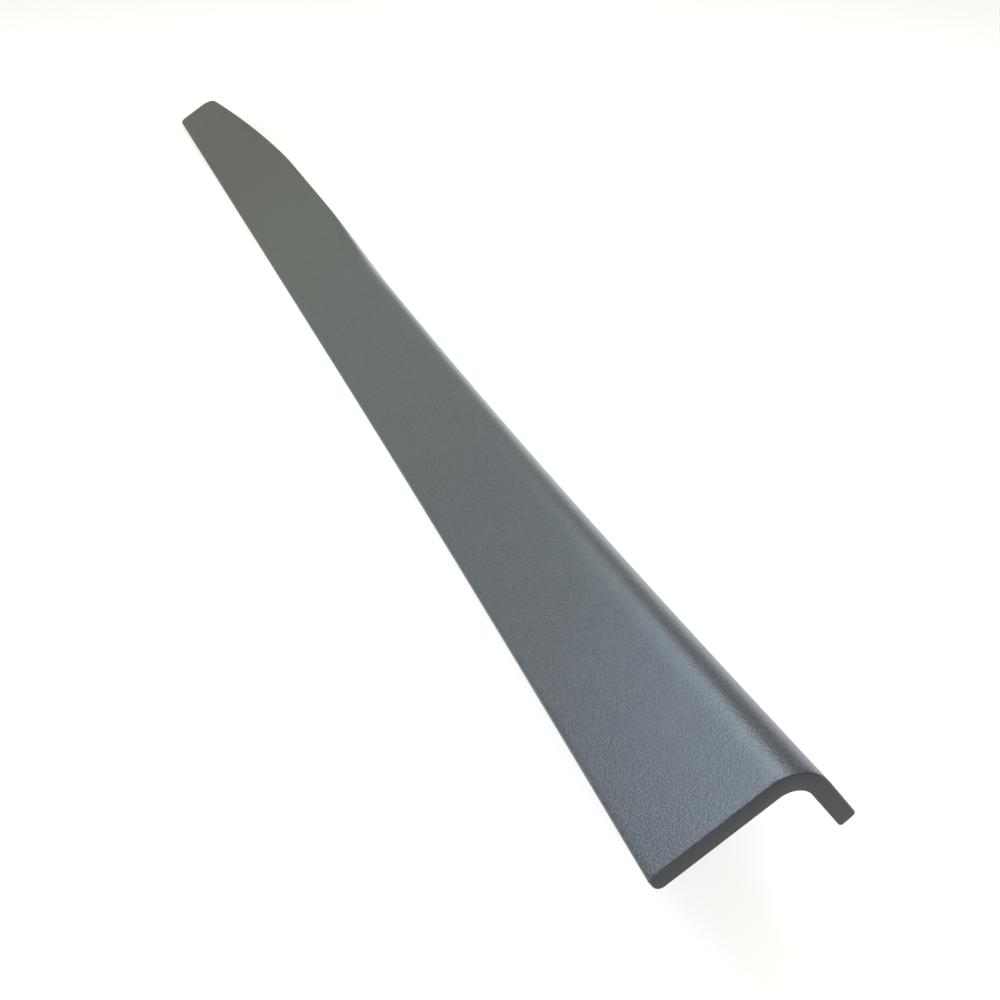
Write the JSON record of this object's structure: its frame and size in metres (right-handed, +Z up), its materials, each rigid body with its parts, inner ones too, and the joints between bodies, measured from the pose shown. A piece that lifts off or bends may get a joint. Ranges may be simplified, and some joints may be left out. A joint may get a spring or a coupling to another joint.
{
  "type": "sill moulding",
  "caption": "Long grained plastic trim of L section, square at one end, swept up in a gentle arc, with the flange running out to a narrow rounded tip.",
  "frame": {"origin": "middle of the flat seat under the web, 430 mm along the web from the square end and 18 mm in from the web's left edge", "axes": "+Y runs along the straight stretch towards the narrow tip, +Z is up as the piece lies on a level floor, +X points from the web's free edge towards the flange"},
  "size_m": [0.0679, 0.7872, 0.0565],
  "materials": {
    "grained_plastic": "satin grained"
  },
  "bodies": {
    "root": {"sill_moulding": "grained_plastic"}
  },
  "joints": []
}
